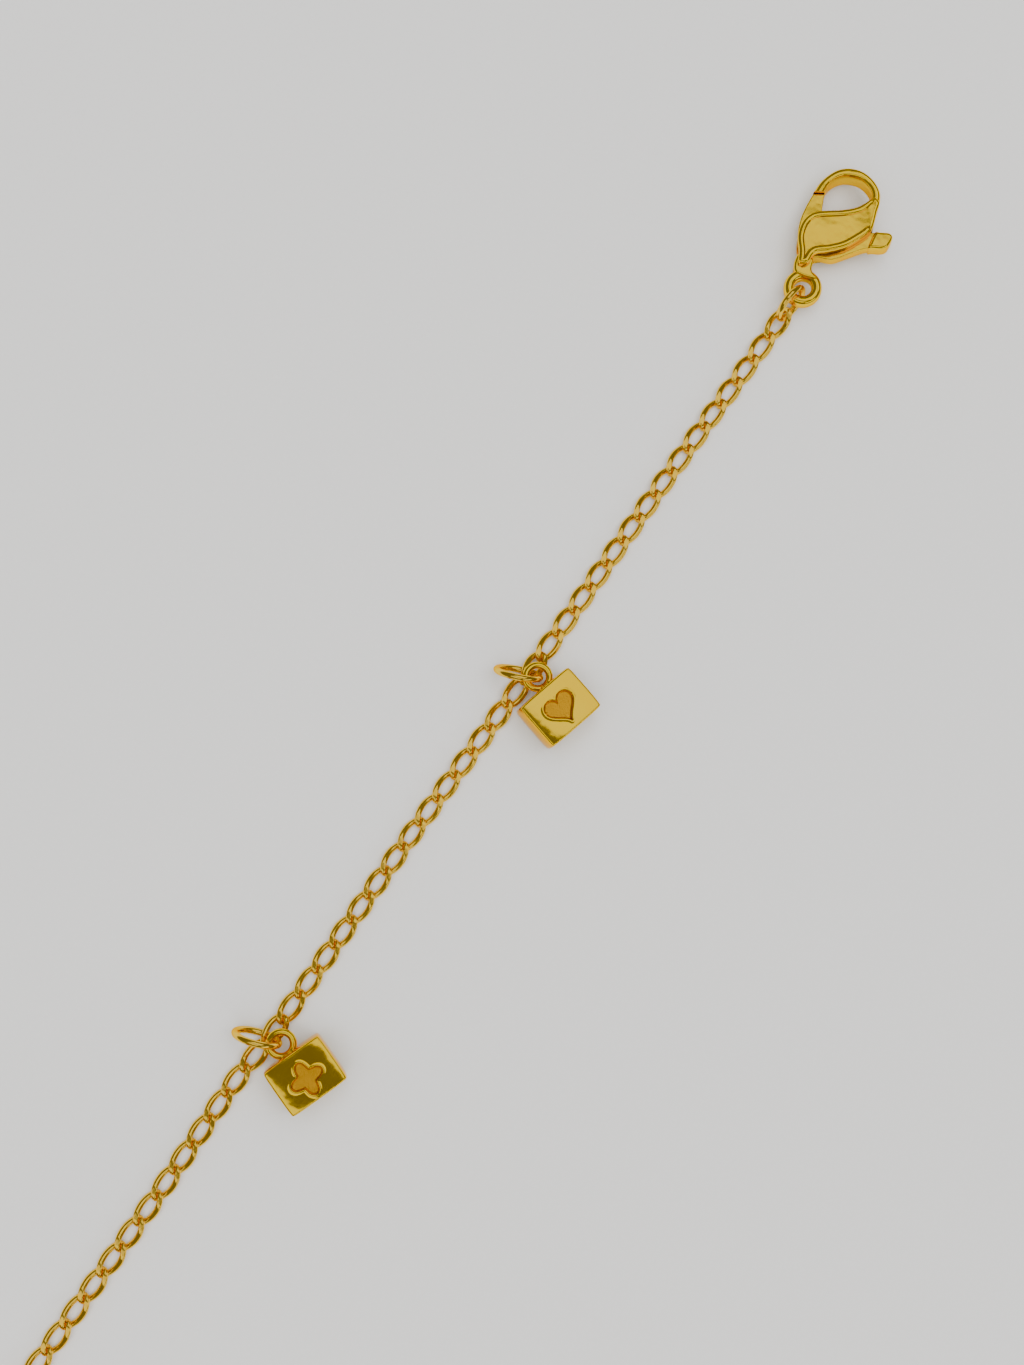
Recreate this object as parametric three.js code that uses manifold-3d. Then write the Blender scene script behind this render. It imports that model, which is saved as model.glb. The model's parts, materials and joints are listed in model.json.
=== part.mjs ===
// Charm bracelet in yellow metal, laid out open on a table: lobster clasp, curb chain, four block charms on jump
// rings and a plain end ring. The chain runs along X with the clasp at +X, the charms lie on the -Y side and the
// table is Z = 0. Lengths are in millimetres and angles in degrees.
import * as THREE from 'three';
import { mergeVertices } from 'three/addons/utils/BufferGeometryUtils.js';
import Module from 'manifold-3d';

// Room left between two pieces that touch on the real bracelet
const CLEARANCE = 0.06;

// Chain of twisted curb links, each bitten a little into the next
const LINK_COUNT = 76;
const LINK_PITCH = 2.24;
const LINK_BITE = 0.05;
const LINK_WIRE = 0.45;
const LINK_TWIST = 45;
const LINK_SQUARENESS = 2.6;
const LINK_GROUND = 0.04;
const LINK_STATIONS = 10;
const LINK_SIDES = 5;
const LINK_FULLNESS = 1.08;

// Jump rings that carry the charms, and their play in a link
const RING_DIAMETER = 3.88;
const RING_WIRE = 0.52;
const RING_PLAY = 0.115;
const RING_STATIONS = 12;
const RING_SIDES = 6;
const RING_FULLNESS = 1.05;

// Ring between the clasp and the chain
const CONNECTOR_DIAMETER = 3.3;
const CONNECTOR_WIRE = 0.52;
const CONNECTOR_LEAN = 18.5;
const CONNECTOR_TURN = -6;
const CONNECTOR_REACH = 1.01;
const CONNECTOR_SIDE = 0.114;
const CONNECTOR_PLACE_IN_EYE = [-0.115, 0.085];

// Ring at the far end
const END_RING_DIAMETER = 4.2;
const END_RING_WIRE = 0.52;
const END_RING_TILT = [-23.2, -15, 14.5];
const END_RING_REACH = 0.56;
const END_RING_SIDE = 0.1;

// Charm block with its stamped recess, and the eye soldered to the block
const CHARM_WIDTH = 4.97;
const CHARM_HEIGHT = 3.96;
const CHARM_DEPTH = 4;
const CHARM_EDGE = 0.12;
const RECESS_SIZE = 2.5;
const RECESS_DEPTH = 0.35;
const RECESS_DROP = 0.2;
const EYE_WIRE = 0.54;
const EYE_PLAY = 0.37;
const EYE_SUNK = 0.04;

// The links that carry charms, how each is rolled by its ring, and how much of its half width it gains by that
const FIRST_CARRIER = 15;
const CARRIER_SPACING = 15;
const CARRIER_ROLL = 19;
const CARRIER_RAISE = 0.3;

// Over how many links the chain climbs to a carrying link, what is left of its climb at an end after each link, and
// how far the connector ring's bend lifts the first link, as a share of the ring's radius
const CLIMB_LINKS = 2.6;
const CLIMB_LEFT = 0.15;
const CONNECTOR_BEND = 0.12;

// How the charms and their rings lie, by turns: the eye's place from the centre of the carrying link, the charm's
// turn, how far the eye sits off the middle of the block, the ring's turn and lean, and the ring's wire in the eye
const MOTIFS = ['heart', 'flower', 'diamond', 'leaf'];
const EYE_PLACES = [
  [-0.494, -0.646],
  [-0.302, -0.953],
];
const EYE_SHIFTS = [0.4, -0.2];
const CHARM_TURNS = [-13.7, -19.5];
const RING_TURNS = [-64.9, -70];
const RING_LEANS = [-16.9, -10.8];
const WIRE_PLACES = [
  [0.101, -0.173],
  [-0.078, 0.161],
];

// Route of the chain: how far it strays sideways at a few chosen links, each counted from a carrying link
const ROUTE = [
  { carrier: 0, past: -15, side: 0 },
  { carrier: 0, past: -8, side: 0.1 },
  { carrier: 0, past: 0, side: 0 },
  { carrier: 0, past: 7, side: 0.18 },
  { carrier: 1, past: 0, side: 0.04 },
  { carrier: 1, past: 2, side: 0.22 },
  { carrier: 1, past: 7, side: 0.02 },
  { carrier: 2, past: 0, side: 0 },
  { carrier: 3, past: 0, side: 0.04 },
  { carrier: 3, past: 2, side: 0.22 },
  { carrier: 3, past: 7, side: 0 },
  { carrier: 3, past: 15, side: 0 },
];

// Lobster clasp: its reach is from the centre of the tail eye to the end of the hook, its span is across the hook
const CLASP_REACH = 10.4;
const CLASP_SPAN = 5.2;
const CLASP_TURN = 13;
const CLASP_ROLL = -11;
const PLATE_DEPTH = 2.46;
const PLATE_EDGE = 0.2;
const RIM_HEIGHT = 0.1;
const RIM_WIDTH = 0.34;
const HOOK_DEPTH = 2.1;
const HOOK_EDGE = 0.3;
const SLOT_DEPTH = 1.2;
const TAIL_EYE_DIAMETER = 3;
const TAIL_EYE_DEPTH = 1.2;
const TAIL_EYE_PLAY = 0.4;
const NECK_DEPTH = 1.5;
const PIN_DIAMETER = 0.8;
const PIN_COVER = 0.3;
const TAB_DEPTH = 1.6;
const LEVER_EDGE = 0.12;

const GOLD = { color: 0xe2b84a, metalness: 1, roughness: 0.22 };
const GOLD_WIRE = { color: 0xddb04a, metalness: 1, roughness: 0.26 };

const rad = THREE.MathUtils.degToRad;
const wasm = await Module();
wasm.setup();

function toSolid(geometry) {
  const bare = geometry.clone();
  bare.deleteAttribute('normal');
  bare.deleteAttribute('uv');
  const merged = mergeVertices(bare, 1e-4);
  return new wasm.Manifold(
    new wasm.Mesh({
      numProp: 3,
      vertProperties: new Float32Array(merged.attributes.position.array),
      triVerts: new Uint32Array(merged.index.array),
    }),
  );
}

function toGeometry(solid) {
  const mesh = solid.getMesh();
  const geometry = new THREE.BufferGeometry();
  geometry.setAttribute('position', new THREE.BufferAttribute(new Float32Array(mesh.vertProperties), 3));
  geometry.setIndex(new THREE.BufferAttribute(new Uint32Array(mesh.triVerts), 1));
  geometry.computeVertexNormals();
  return geometry;
}

function outline(points) {
  return new THREE.Shape(points.map(([x, y]) => new THREE.Vector2(x, y)));
}

// A plate centred on Z = 0 whose chamfered edges stay inside the outline
function plate(shape, depth, edge) {
  const geometry = new THREE.ExtrudeGeometry(shape, {
    depth: depth - 2 * edge,
    bevelEnabled: edge > 0,
    bevelThickness: edge,
    bevelSize: edge,
    bevelOffset: -edge,
    bevelSegments: 1,
    curveSegments: 6,
    steps: 1,
  });
  geometry.translate(0, 0, -(depth - 2 * edge) / 2);
  return geometry;
}

// A round ring lying flat, its wire as full as a round one although it has flats
function roundRing(diameter, wire) {
  return new THREE.TorusGeometry((diameter - wire) / 2, (RING_FULLNESS * wire) / 2, RING_SIDES, RING_STATIONS);
}

const bracelet = new THREE.Group();

function addPiece(parent, name, geometry, look) {
  const mesh = new THREE.Mesh(geometry, new THREE.MeshStandardMaterial(look));
  mesh.name = name;
  parent.add(mesh);
  return mesh;
}

// Curb link: a long loop, twisted about its length, with its upper and lower faces ground flat
class LinkCurve extends THREE.Curve {
  getPoint(t, target = new THREE.Vector3()) {
    const c = Math.cos(2 * Math.PI * t);
    const s = Math.sin(2 * Math.PI * t);
    const power = 2 / LINK_SQUARENESS;
    const x = linkHalfLength * Math.sign(c) * Math.abs(c) ** power;
    const y = linkHalfWidth * Math.sign(s) * Math.abs(s) ** power;
    return target.set(x, y, 0);
  }
}

const linkHalfLength = (LINK_PITCH - LINK_BITE + LINK_WIRE) / 2;
const linkHalfWidth = (RING_WIRE + 2 * RING_PLAY + LINK_WIRE) / 2;

function makeLink() {
  const wireRadius = (LINK_FULLNESS * LINK_WIRE) / 2;
  const geometry = new THREE.TubeGeometry(new LinkCurve(), LINK_STATIONS, wireRadius, LINK_SIDES, true);
  const position = geometry.attributes.position;
  const lengthAxis = new THREE.Vector3(1, 0, 0);
  const point = new THREE.Vector3();
  let top = 0;
  for (let i = 0; i < position.count; i++) {
    point.fromBufferAttribute(position, i);
    point.applyAxisAngle(lengthAxis, rad(-LINK_TWIST) * (point.x / linkHalfLength));
    position.setXYZ(i, point.x, point.y, point.z);
    top = Math.max(top, Math.abs(point.z));
  }
  const level = top - LINK_GROUND;
  for (let i = 0; i < position.count; i++) {
    position.setZ(i, THREE.MathUtils.clamp(position.getZ(i), -level, level));
  }
  return { solid: toSolid(geometry), level };
}

const link = makeLink();
const carriers = MOTIFS.map((_, k) => Math.round(FIRST_CARRIER + k * CARRIER_SPACING));
const route = ROUTE.map(({ carrier, past, side }) => ({ link: carriers[carrier] + past, side }));

// Heights of the chain at its two ends and at a carrying link, set by the rings that pass under the wire there
const carrierLevel = Math.max(link.level, RING_WIRE + CLEARANCE + LINK_WIRE / 2 - CARRIER_RAISE * linkHalfWidth);
const claspEndLevel = CONNECTOR_WIRE + CLEARANCE + LINK_WIRE / 2 + (CONNECTOR_BEND * CONNECTOR_DIAMETER) / 2;
const farEndLevel = END_RING_WIRE + CLEARANCE + LINK_WIRE / 2;

function levelAt(joint) {
  let level = link.level;
  for (const carrier of carriers) {
    const away = Math.abs(joint - 0.5 - carrier) - 0.5;
    const share = THREE.MathUtils.smoothstep(CLIMB_LINKS - away, 0, CLIMB_LINKS);
    level = Math.max(level, THREE.MathUtils.lerp(link.level, carrierLevel, share));
  }
  const fromClasp = Math.max(0, CLIMB_LEFT ** joint - CLIMB_LEFT ** 3);
  const fromEnd = Math.max(0, CLIMB_LEFT ** (LINK_COUNT - joint) - CLIMB_LEFT ** 3);
  level = Math.max(level, THREE.MathUtils.lerp(link.level, claspEndLevel, fromClasp));
  return Math.max(level, THREE.MathUtils.lerp(link.level, farEndLevel, fromEnd));
}

function sideAt(index) {
  let k = 0;
  while (k < route.length - 2 && route[k + 1].link < index) {
    k++;
  }
  const start = route[k];
  const end = route[k + 1];
  return THREE.MathUtils.lerp(start.side, end.side, THREE.MathUtils.smoothstep(index, start.link, end.link));
}

// Place of link number index: the clasp's end of the chain is link 0 at X = 0
function placeLink(index) {
  const start = levelAt(index);
  const end = levelAt(index + 1);
  const place = new THREE.Object3D();
  place.position.set(-index * LINK_PITCH, sideAt(index), (start + end) / 2);
  place.rotation.order = 'ZYX';
  place.rotation.x = carriers.includes(index) ? rad(CARRIER_ROLL) : 0;
  place.rotation.y = -Math.atan2(start - end, LINK_PITCH);
  place.rotation.z = -Math.atan2(sideAt(index + 0.5) - sideAt(index - 0.5), LINK_PITCH);
  place.updateMatrix();
  return place;
}

let chain = null;
for (let index = 0; index < LINK_COUNT; index++) {
  const placed = link.solid.transform(placeLink(index).matrix.toArray());
  chain = chain ? chain.add(placed) : placed;
}
addPiece(bracelet, 'chain', toGeometry(chain), GOLD_WIRE);

// Heart, four-petal flower, diamond and leaf as closed outlines about one unit across
function motifShape(name) {
  const count = 28;
  let points = [];
  for (let i = 0; i < count; i++) {
    const a = (2 * Math.PI * i) / count;
    if (name === 'heart') {
      const x = 16 * Math.sin(a) ** 3;
      const y = 13 * Math.cos(a) - 5 * Math.cos(2 * a) - 2 * Math.cos(3 * a) - Math.cos(4 * a);
      points.push([-x / 33, (y + 2.5) / 33]);
    } else if (name === 'flower') {
      const r = 0.4 + 0.12 * Math.cos(4 * a);
      points.push([r * Math.cos(a), r * Math.sin(a)]);
    } else if (name === 'leaf') {
      const w = 0.3 * Math.sin(a) * (1 + 0.35 * Math.cos(a));
      points.push([-w, 0.5 * Math.cos(a)]);
    }
  }
  if (name === 'diamond') {
    points = [[0, -0.5], [0.42, 0], [0, 0.5], [-0.42, 0]];
  }
  return outline(points.map(([x, y]) => [x * RECESS_SIZE, y * RECESS_SIZE]));
}

const eyeDiameter = RING_WIRE + 2 * EYE_PLAY + 2 * EYE_WIRE;
const eyeReach = (eyeDiameter - EYE_WIRE) / 2 - EYE_SUNK;

// Charm with its block centred on the origin, the eye on its +Y side and the recess in its upper face
function makeCharm(motif, eyeShift) {
  const w = CHARM_WIDTH / 2;
  const h = CHARM_HEIGHT / 2;
  const block = plate(outline([[-w, -h], [w, -h], [w, h], [-w, h]]), CHARM_DEPTH, CHARM_EDGE);
  const recess = new THREE.ExtrudeGeometry(motifShape(motif), { depth: 2 * RECESS_DEPTH, bevelEnabled: false });
  recess.translate(0, -RECESS_DROP, CHARM_DEPTH / 2 - RECESS_DEPTH);
  const eye = roundRing(eyeDiameter, EYE_WIRE);
  eye.translate(eyeShift, h + eyeReach, 0);
  return toGeometry(toSolid(block).subtract(toSolid(recess)).add(toSolid(eye)));
}

// Charms and their jump rings, each placed from the link that carries it
MOTIFS.forEach((motif, k) => {
  const carrier = placeLink(carriers[k]);
  const [eyeX, eyeY] = EYE_PLACES[k % 2];
  const eyeCentre = new THREE.Vector3(carrier.position.x + eyeX, carrier.position.y + eyeY, CHARM_DEPTH / 2);
  const charmTurn = rad(CHARM_TURNS[k % 2]);
  const eyeShift = EYE_SHIFTS[k % 2];
  const toEye = new THREE.Vector3(eyeShift, CHARM_HEIGHT / 2 + eyeReach, 0);
  toEye.applyAxisAngle(new THREE.Vector3(0, 0, 1), charmTurn);
  const charmPlace = new THREE.Group();
  charmPlace.rotation.z = charmTurn;
  charmPlace.position.copy(eyeCentre).sub(toEye);
  bracelet.add(charmPlace);
  addPiece(charmPlace, `charm_${k + 1}`, makeCharm(motif, eyeShift), GOLD);

  const ringTurn = rad(RING_TURNS[k % 2]);
  const ringLean = rad(RING_LEANS[k % 2]);
  const [wireX, wireY] = WIRE_PLACES[k % 2];
  const radius = (RING_DIAMETER - RING_WIRE) / 2;
  const ringPlace = new THREE.Group();
  ringPlace.rotation.order = 'ZYX';
  ringPlace.rotation.z = ringTurn;
  ringPlace.rotation.x = Math.PI / 2 - ringLean;
  ringPlace.position.set(
    eyeCentre.x + wireX - radius * Math.cos(ringTurn),
    eyeCentre.y + wireY - radius * Math.sin(ringTurn),
    radius * Math.cos(ringLean) + RING_WIRE / 2 + CLEARANCE / 2,
  );
  bracelet.add(ringPlace);
  addPiece(ringPlace, `jump_ring_${k + 1}`, roundRing(RING_DIAMETER, RING_WIRE), GOLD_WIRE);
});

// Connector ring, nearly upright, its near side inside the first link
const connectorRadius = (CONNECTOR_DIAMETER - CONNECTOR_WIRE) / 2;
const connectorPlace = new THREE.Group();
connectorPlace.rotation.order = 'ZYX';
connectorPlace.rotation.x = rad(90 - CONNECTOR_LEAN);
connectorPlace.rotation.z = rad(CONNECTOR_TURN);
connectorPlace.position.set(
  linkHalfLength - CONNECTOR_REACH + connectorRadius,
  CONNECTOR_SIDE,
  connectorRadius * Math.cos(rad(CONNECTOR_LEAN)) + CONNECTOR_WIRE / 2 + CLEARANCE / 2,
);
bracelet.add(connectorPlace);
addPiece(connectorPlace, 'connector_ring', roundRing(CONNECTOR_DIAMETER, CONNECTOR_WIRE), GOLD_WIRE);

// End ring, lying on the table and leaning on the last link
const endRadius = (END_RING_DIAMETER - END_RING_WIRE) / 2;
const lastLink = placeLink(LINK_COUNT - 1);
const endPlace = new THREE.Group();
addPiece(endPlace, 'end_ring', roundRing(END_RING_DIAMETER, END_RING_WIRE), GOLD_WIRE);
endPlace.rotation.set(...END_RING_TILT.map(rad), 'ZYX');
endPlace.position.set(
  lastLink.position.x - linkHalfLength + END_RING_REACH - endRadius,
  lastLink.position.y + END_RING_SIDE,
  CLEARANCE / 3 - new THREE.Box3().setFromObject(endPlace, true).min.z,
);
bracelet.add(endPlace);

// Clasp outlines seen from above, from the centre of the tail eye, with the hook to +X and the gate to +Y: each
// point is a share of the clasp's reach and of its span
function claspPoint([x, y]) {
  return [x * CLASP_REACH, y * CLASP_SPAN];
}

const PIVOT = claspPoint([0.356, 0.087]);
const PLATE_OUTLINE = [
  [0.144, 0.181],
  [0.169, 0.058],
  [0.256, 0.01],
  [0.309, -0.183],
  [0.377, -0.375],
  [0.458, -0.51],
  [0.543, -0.625],
  [0.606, -0.654],
  [0.723, -0.625],
  [0.803, -0.606],
  [0.817, -0.49],
  [0.716, -0.356],
  [0.649, -0.163],
  [0.572, 0.183],
  [0.519, 0.308],
  [0.439, 0.363],
  [0.335, 0.346],
  [0.234, 0.25],
].map(claspPoint);
const RIM_FIRST = 10;
const HOOK_OUTER = [
  [0.717, 0.385],
  [0.803, 0.35],
  [0.883, 0.273],
  [0.95, 0.163],
  [0.99, 0.019],
  [1.002, -0.154],
  [0.983, -0.319],
  [0.937, -0.471],
  [0.873, -0.577],
  [0.788, -0.615],
  [0.702, -0.615],
].map(claspPoint);
const HOOK_INNER = [
  [0.692, -0.346],
  [0.76, -0.452],
  [0.827, -0.462],
  [0.885, -0.375],
  [0.925, -0.192],
  [0.906, 0.038],
  [0.832, 0.183],
  [0.746, 0.221],
].map(claspPoint);
const LEVER_OUTLINE = [
  [0.712, 0.381],
  [0.616, 0.408],
  [0.511, 0.417],
  [0.408, 0.387],
  [0.322, 0.312],
  [0.264, 0.221],
  [0.238, 0.087],
  [0.258, -0.067],
  [0.275, -0.26],
  [0.354, -0.454],
  [0.442, -0.663],
  [0.476, -0.885],
  [0.51, -0.962],
  [0.587, -0.981],
  [0.615, -0.913],
  [0.588, -0.721],
  [0.558, -0.5],
  [0.553, -0.192],
  [0.572, 0.019],
  [0.606, 0.146],
  [0.663, 0.183],
  [0.74, 0.217],
].map(claspPoint);
const TAB_OUTLINE = [
  [0.46, -0.75],
  [0.476, -0.885],
  [0.51, -0.962],
  [0.587, -0.981],
  [0.615, -0.913],
  [0.596, -0.769],
  [0.529, -0.76],
].map(claspPoint);
const SLOT_OUTLINE = [
  [0.202, 0.615],
  [0.202, -0.038],
  [0.154, -0.462],
  [0.308, -0.846],
  [0.635, -0.846],
  [0.635, -0.269],
  [0.683, -0.115],
  [0.683, 0.615],
].map(claspPoint);
const NECK_OUTLINE = [
  [0.087, 0.202],
  [0.087, -0.144],
  [0.144, -0.029],
  [0.231, 0.023],
  [0.231, 0.246],
].map(claspPoint);

const clasp = new THREE.Group();
bracelet.add(clasp);

// A strip of the given width along the inner side of a run of outline points
function rimStrip(line, width) {
  const inner = line.map(([x, y], i) => {
    const before = line[Math.max(0, i - 1)];
    const after = line[Math.min(line.length - 1, i + 1)];
    const dx = after[0] - before[0];
    const dy = after[1] - before[1];
    const length = Math.hypot(dx, dy);
    return [x - (dy / length) * width, y + (dx / length) * width];
  });
  return outline([...line, ...inner.reverse()]);
}

// Tail eye: a round-edged flat ring about Z
function makeTailEye() {
  const outer = TAIL_EYE_DIAMETER / 2;
  const inner = CONNECTOR_WIRE / 2 + TAIL_EYE_PLAY;
  const h = TAIL_EYE_DEPTH / 2;
  const e = (outer - inner) / 4;
  const profile = [
    new THREE.Vector2(inner, -h + e),
    new THREE.Vector2(inner + e, -h),
    new THREE.Vector2(outer - e, -h),
    new THREE.Vector2(outer, -h + e),
    new THREE.Vector2(outer, h - e),
    new THREE.Vector2(outer - e, h),
    new THREE.Vector2(inner + e, h),
    new THREE.Vector2(inner, h - e),
    new THREE.Vector2(inner, -h + e),
  ];
  return new THREE.LatheGeometry(profile, 16).rotateX(Math.PI / 2);
}

// A round bore or pin about the pivot, between two heights
function pivotCylinder(diameter, bottom, top) {
  const geometry = new THREE.CylinderGeometry(diameter / 2, diameter / 2, top - bottom, 16);
  geometry.rotateX(Math.PI / 2);
  geometry.translate(PIVOT[0], PIVOT[1], (top + bottom) / 2);
  return geometry;
}

const pinTop = PLATE_DEPTH / 2 - PIN_COVER;

// Body: two plates with their rims, the hook, the neck and the tail eye in one solid, slotted for the lever
function makeClaspBody() {
  const hook = plate(outline([...HOOK_OUTER, ...HOOK_INNER].reverse()), HOOK_DEPTH, HOOK_EDGE);
  const plates = plate(outline(PLATE_OUTLINE), PLATE_DEPTH, PLATE_EDGE);
  const rim = plate(rimStrip(PLATE_OUTLINE.slice(RIM_FIRST), RIM_WIDTH), PLATE_DEPTH + 2 * RIM_HEIGHT, RIM_HEIGHT);
  const neck = plate(outline(NECK_OUTLINE), NECK_DEPTH, PLATE_EDGE);
  const slot = plate(outline(SLOT_OUTLINE), SLOT_DEPTH, 0);
  const hole = pivotCylinder(CONNECTOR_WIRE + 2 * TAIL_EYE_PLAY, -PLATE_DEPTH, PLATE_DEPTH);
  hole.translate(-PIVOT[0], -PIVOT[1], 0);
  const bore = pivotCylinder(PIN_DIAMETER + 2 * CLEARANCE, -PLATE_DEPTH, pinTop);
  return toSolid(plates)
    .add(toSolid(rim))
    .subtract(toSolid(slot))
    .subtract(toSolid(bore))
    .add(toSolid(hook))
    .add(toSolid(neck))
    .add(toSolid(makeTailEye()))
    .subtract(toSolid(hole));
}

// Lever: the gate, its arm across the body and the thicker thumb tab
function makeLever() {
  const arm = plate(outline(LEVER_OUTLINE), SLOT_DEPTH - 2 * CLEARANCE, LEVER_EDGE);
  const tab = plate(outline(TAB_OUTLINE), TAB_DEPTH, LEVER_EDGE);
  const bore = pivotCylinder(PIN_DIAMETER + 2 * CLEARANCE, -PLATE_DEPTH, PLATE_DEPTH);
  return toSolid(arm).add(toSolid(tab)).subtract(toSolid(bore));
}

addPiece(clasp, 'clasp_body', toGeometry(makeClaspBody()), GOLD);
addPiece(clasp, 'clasp_lever', toGeometry(makeLever()), GOLD);
const pin = pivotCylinder(PIN_DIAMETER, -PLATE_DEPTH / 2 + CLEARANCE, pinTop - CLEARANCE);
addPiece(clasp, 'clasp_pin', pin, GOLD);

clasp.rotation.order = 'ZYX';
clasp.rotation.x = rad(CLASP_ROLL);
clasp.rotation.z = rad(CLASP_TURN);
clasp.position.set(
  connectorPlace.position.x + connectorRadius - CONNECTOR_PLACE_IN_EYE[0],
  connectorPlace.position.y - CONNECTOR_PLACE_IN_EYE[1],
  -new THREE.Box3().setFromObject(clasp, true).min.z,
);

// The origin is under the middle of the whole bracelet
const bounds = new THREE.Box3().setFromObject(bracelet, true);
bracelet.position.set(-(bounds.min.x + bounds.max.x) / 2, -(bounds.min.y + bounds.max.y) / 2, 0);

export default bracelet;
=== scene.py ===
# Charm bracelet in gold-plated brass, laid out open on a pale table: curb chain, jump rings, four stamped
# block charms, and a lobster clasp with its lever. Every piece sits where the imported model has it.
import json
import math

import bmesh
import bpy
import numpy as np
from mathutils import Matrix, Vector


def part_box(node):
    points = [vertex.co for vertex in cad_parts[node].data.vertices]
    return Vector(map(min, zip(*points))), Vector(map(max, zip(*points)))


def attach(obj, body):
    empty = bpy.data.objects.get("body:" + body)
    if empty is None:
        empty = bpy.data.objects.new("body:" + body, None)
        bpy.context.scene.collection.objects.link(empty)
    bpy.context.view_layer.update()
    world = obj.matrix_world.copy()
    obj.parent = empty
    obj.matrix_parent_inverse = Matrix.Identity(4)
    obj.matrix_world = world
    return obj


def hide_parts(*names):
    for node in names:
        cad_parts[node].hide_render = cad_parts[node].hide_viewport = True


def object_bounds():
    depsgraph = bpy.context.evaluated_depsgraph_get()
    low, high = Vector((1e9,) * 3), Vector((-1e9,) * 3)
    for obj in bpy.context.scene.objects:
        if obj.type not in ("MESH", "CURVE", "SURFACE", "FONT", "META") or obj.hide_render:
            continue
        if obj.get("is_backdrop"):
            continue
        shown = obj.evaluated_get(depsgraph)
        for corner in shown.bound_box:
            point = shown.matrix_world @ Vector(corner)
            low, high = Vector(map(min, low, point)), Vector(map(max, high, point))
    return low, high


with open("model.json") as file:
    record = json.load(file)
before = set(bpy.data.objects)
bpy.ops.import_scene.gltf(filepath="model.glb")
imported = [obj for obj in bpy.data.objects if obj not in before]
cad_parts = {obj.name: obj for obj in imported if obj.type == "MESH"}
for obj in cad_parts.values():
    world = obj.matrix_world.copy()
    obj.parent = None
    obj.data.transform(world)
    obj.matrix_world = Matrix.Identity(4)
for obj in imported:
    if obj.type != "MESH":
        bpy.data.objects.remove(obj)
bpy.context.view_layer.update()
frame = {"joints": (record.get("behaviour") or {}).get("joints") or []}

# Curb chain. Seventy-six links are bent from round brass wire, each twisted about its length so that the
# chain lies flat, hooked one into the next and then ground, which leaves a bright facet on each raised
# side. Each link is fused to the next where they touch, so that the chain is one skin.
MM = 0.001
CLEARANCE = 0.06 * MM
LINK_COUNT = 76
LINK_PITCH = 2.24 * MM
LINK_BITE = 0.05 * MM
LINK_WIRE = 0.45 * MM
WIRE_FULLNESS = 1.06
LINK_TWIST = math.radians(54)
LINK_SQUARENESS = 2.6
LINK_LEVEL = 0.457 * MM
LINK_HALF_LENGTH = (LINK_PITCH - LINK_BITE + LINK_WIRE) / 2
RING_WIRE = 0.52 * MM
RING_PLAY = 0.115 * MM
LINK_HALF_WIDTH = (RING_WIRE + 2 * RING_PLAY + LINK_WIRE) / 2
CARRIERS = (15, 30, 45, 60)
CARRIER_ROLL = math.radians(19)
CARRIER_DROP = 0.3
CONNECTOR_DIAMETER = 3.3 * MM
CONNECTOR_LIFT = 0.06
FAR_END_LEVEL = RING_WIRE + CLEARANCE + LINK_WIRE / 2
CLASP_END_LEVEL = FAR_END_LEVEL + CONNECTOR_LIFT * CONNECTOR_DIAMETER
CARRIER_LEVEL = max(LINK_LEVEL, FAR_END_LEVEL - CARRIER_DROP * LINK_HALF_WIDTH)
CLIMB_LINKS = 2.6
CLIMB_LEFT = 0.15
END_CLIMB_LINKS = 3
ROUTE_LINKS = (0, 7, 15, 22, 30, 32, 37, 45, 60, 62, 67, 75)
ROUTE_SIDES = (0, 0.1, 0, 0.18, 0.04, 0.22, 0.02, 0, 0.04, 0.22, 0, 0)


def smooth(t):
    t = min(max(t, 0.0), 1.0)
    return t * t * (3 - 2 * t)


def level_at(joint):
    """Height of the chain's line at a joint. It climbs over the rings that lie under it."""
    level = LINK_LEVEL
    for carrier in CARRIERS:
        away = abs(joint - 0.5 - carrier) - 0.5
        share = smooth((CLIMB_LINKS - away) / CLIMB_LINKS)
        level = max(level, LINK_LEVEL + (CARRIER_LEVEL - LINK_LEVEL) * share)
    from_clasp = max(0, CLIMB_LEFT**joint - CLIMB_LEFT**END_CLIMB_LINKS)
    from_end = max(0, CLIMB_LEFT ** (LINK_COUNT - joint) - CLIMB_LEFT**END_CLIMB_LINKS)
    level = max(level, LINK_LEVEL + (CLASP_END_LEVEL - LINK_LEVEL) * from_clasp)
    return max(level, LINK_LEVEL + (FAR_END_LEVEL - LINK_LEVEL) * from_end)


def side_at(index):
    """How far the chain wanders sideways at a link."""
    k = 0
    while k < len(ROUTE_LINKS) - 2 and ROUTE_LINKS[k + 1] < index:
        k += 1
    t = smooth((index - ROUTE_LINKS[k]) / (ROUTE_LINKS[k + 1] - ROUTE_LINKS[k]))
    return (ROUTE_SIDES[k] + (ROUTE_SIDES[k + 1] - ROUTE_SIDES[k]) * t) * MM


# The connector ring's centre in the model gives the place of the first link
CONNECTOR_REACH = 1.01 * MM
CONNECTOR_SIDE = 0.114 * MM
CONNECTOR_RADIUS = (CONNECTOR_DIAMETER - RING_WIRE) / 2
low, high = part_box("connector_ring")
connector_centre = (low + high) / 2
FIRST_X = connector_centre.x - (LINK_HALF_LENGTH - CONNECTOR_REACH + CONNECTOR_RADIUS)
FIRST_Y = connector_centre.y - CONNECTOR_SIDE


def link_place(index):
    """Centre of a link and its roll, pitch and yaw."""
    start = level_at(index)
    end = level_at(index + 1)
    centre = Vector((FIRST_X - index * LINK_PITCH, FIRST_Y + side_at(index), (start + end) / 2))
    roll = CARRIER_ROLL if index in CARRIERS else 0
    pitch = -math.atan2(start - end, LINK_PITCH)
    yaw = -math.atan2(side_at(index + 0.5) - side_at(index - 0.5), LINK_PITCH)
    return centre, (roll, pitch, yaw)


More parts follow.
